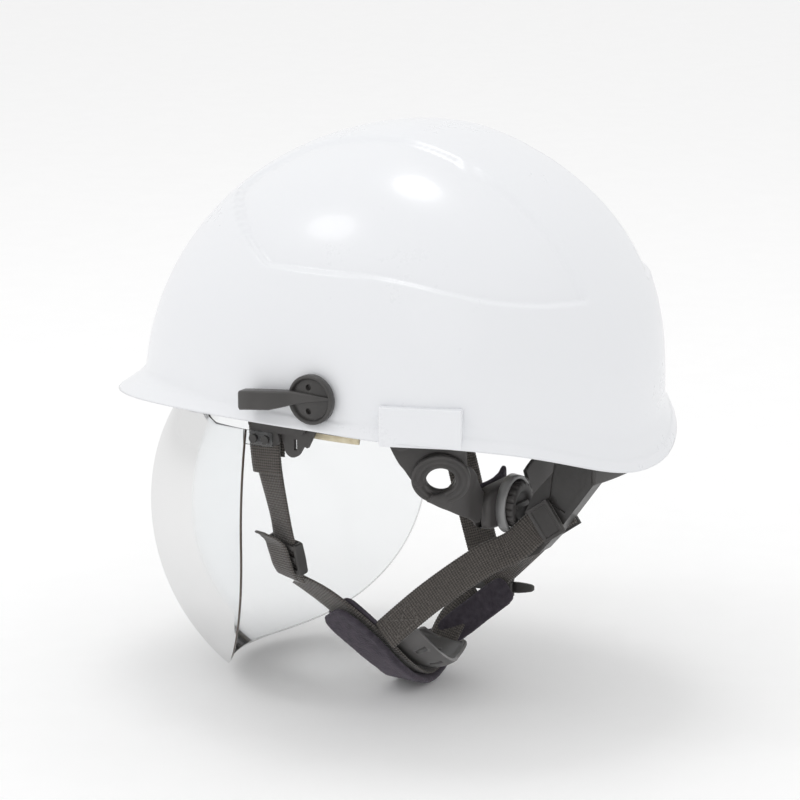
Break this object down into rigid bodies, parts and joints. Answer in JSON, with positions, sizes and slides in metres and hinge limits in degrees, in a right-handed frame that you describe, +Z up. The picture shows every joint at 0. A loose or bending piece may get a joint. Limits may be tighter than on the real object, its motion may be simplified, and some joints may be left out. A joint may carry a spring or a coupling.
{
  "type": "industrial safety helmet",
  "caption": "Safety helmet with a clear bubble face shield raised by side levers, a ratchet headband, crown straps and a chinstrap with a padded chin cup.",
  "frame": {"origin": "on the helmet's middle plane, level with the lower edge of the rim at the sides, below the widest section of the shell, which is where the lever axis is", "axes": "+X is the wearer's left, -Y is the front (the side with the face shield) and +Z is up"},
  "size_m": [0.2322, 0.298, 0.2942],
  "materials": {
    "shell_white": "smooth injection-moulded, satin to gloss",
    "visor_clear": "clear hard-coated polycarbonate sheet",
    "rivet_steel": "plated steel fasteners and cranks",
    "lever_black": "fine-textured black moulding",
    "moulding_dark": "dark grey flexible moulding",
    "sweatband_cream": "soft brushed fabric",
    "pad_fabric": "dark knitted padding",
    "webbing": "ribbed woven polyester webbing",
    "cup_grey": "soft grey rubber"
  },
  "bodies": {
    "frame_body": {"shell": "shell_white", "spindle_bushes": "moulding_dark", "guide_left": "moulding_dark", "guide_right": "moulding_dark", "guide_screws": "rivet_steel", "headband": "moulding_dark", "band_studs": "moulding_dark", "sweatband": "sweatband_cream", "arm_left": "moulding_dark", "arm_right": "moulding_dark", "arm_rivets": "rivet_steel", "ratchet_housing": "moulding_dark", "nape_pad": "pad_fabric", "crown_strap_a": "webbing", "crown_strap_b": "webbing", "crown_keys": "moulding_dark", "crown_pad": "pad_fabric", "front_strap_left": "webbing", "front_strap_right": "webbing", "slider_left": "lever_black", "chin_strap": "webbing", "buckle_body": "lever_black", "buckle_pin": "rivet_steel", "chin_cup": "cup_grey", "chin_pad": "pad_fabric", "rear_strap_left": "webbing", "rear_strap_right": "webbing", "rear_hanger": "moulding_dark", "hanger_screws": "rivet_steel", "clamp_left": "moulding_dark", "clamp_right": "moulding_dark"},
    "visor": {"visor_sheet": "visor_clear", "carrier_left": "moulding_dark", "carrier_right": "moulding_dark", "carrier_rivets": "lever_black"},
    "lever_left_body": {"lever_left": "lever_black", "crank_left": "rivet_steel", "retaining_clip_left": "rivet_steel"},
    "lever_right_body": {"lever_right": "lever_black", "crank_right": "rivet_steel", "retaining_clip_right": "rivet_steel"},
    "knob_body": {"ratchet_knob": "moulding_dark"},
    "rack_left_body": {"rack_left": "moulding_dark"},
    "rack_right_body": {"rack_right": "moulding_dark"},
    "buckle_lever_body": {"buckle_lever": "lever_black"}
  },
  "joints": [
    {"name": "visor_swing", "type": "hinge", "parent": "frame_body", "child": "visor", "pos_m": [0, 0.0632, -0.0542], "axis": [-1, 0, 0], "range_deg": [0, 42]},
    {"name": "lever_left_turn", "type": "hinge", "parent": "frame_body", "child": "lever_left_body", "pos_m": [0.1076, 0, 0.017], "axis": [-1, 0, 0], "range_deg": [0, 123]},
    {"name": "lever_right_turn", "type": "hinge", "parent": "frame_body", "child": "lever_right_body", "pos_m": [-0.1076, 0, 0.017], "axis": [-1, 0, 0], "range_deg": [0, 123]},
    {"name": "knob_turn", "type": "hinge", "parent": "frame_body", "child": "knob_body", "pos_m": [0, 0.044, -0.054], "axis": [0, 1, 0], "range_deg": [-60, 60]},
    {"name": "rack_left_slide", "type": "slide", "parent": "frame_body", "child": "rack_left_body", "axis": [1, 0, 0], "range_m": [-0.0045, 0.0045]},
    {"name": "rack_right_slide", "type": "slide", "parent": "frame_body", "child": "rack_right_body", "axis": [1, 0, 0], "range_m": [-0.0045, 0.0045]},
    {"name": "buckle_lever_open", "type": "hinge", "parent": "frame_body", "child": "buckle_lever_body", "pos_m": [-0.0464, 0.025, -0.115], "axis": [0, 0, 1], "range_deg": [0, 70]}
  ],
  "couplings": [
    {"joint": "lever_left_turn", "follows": "visor_swing", "ratio": 2.854},
    {"joint": "lever_right_turn", "follows": "visor_swing", "ratio": 2.854},
    {"joint": "rack_left_slide", "follows": "knob_turn", "m_per_rad": 0.004},
    {"joint": "rack_right_slide", "follows": "knob_turn", "m_per_rad": -0.004}
  ]
}
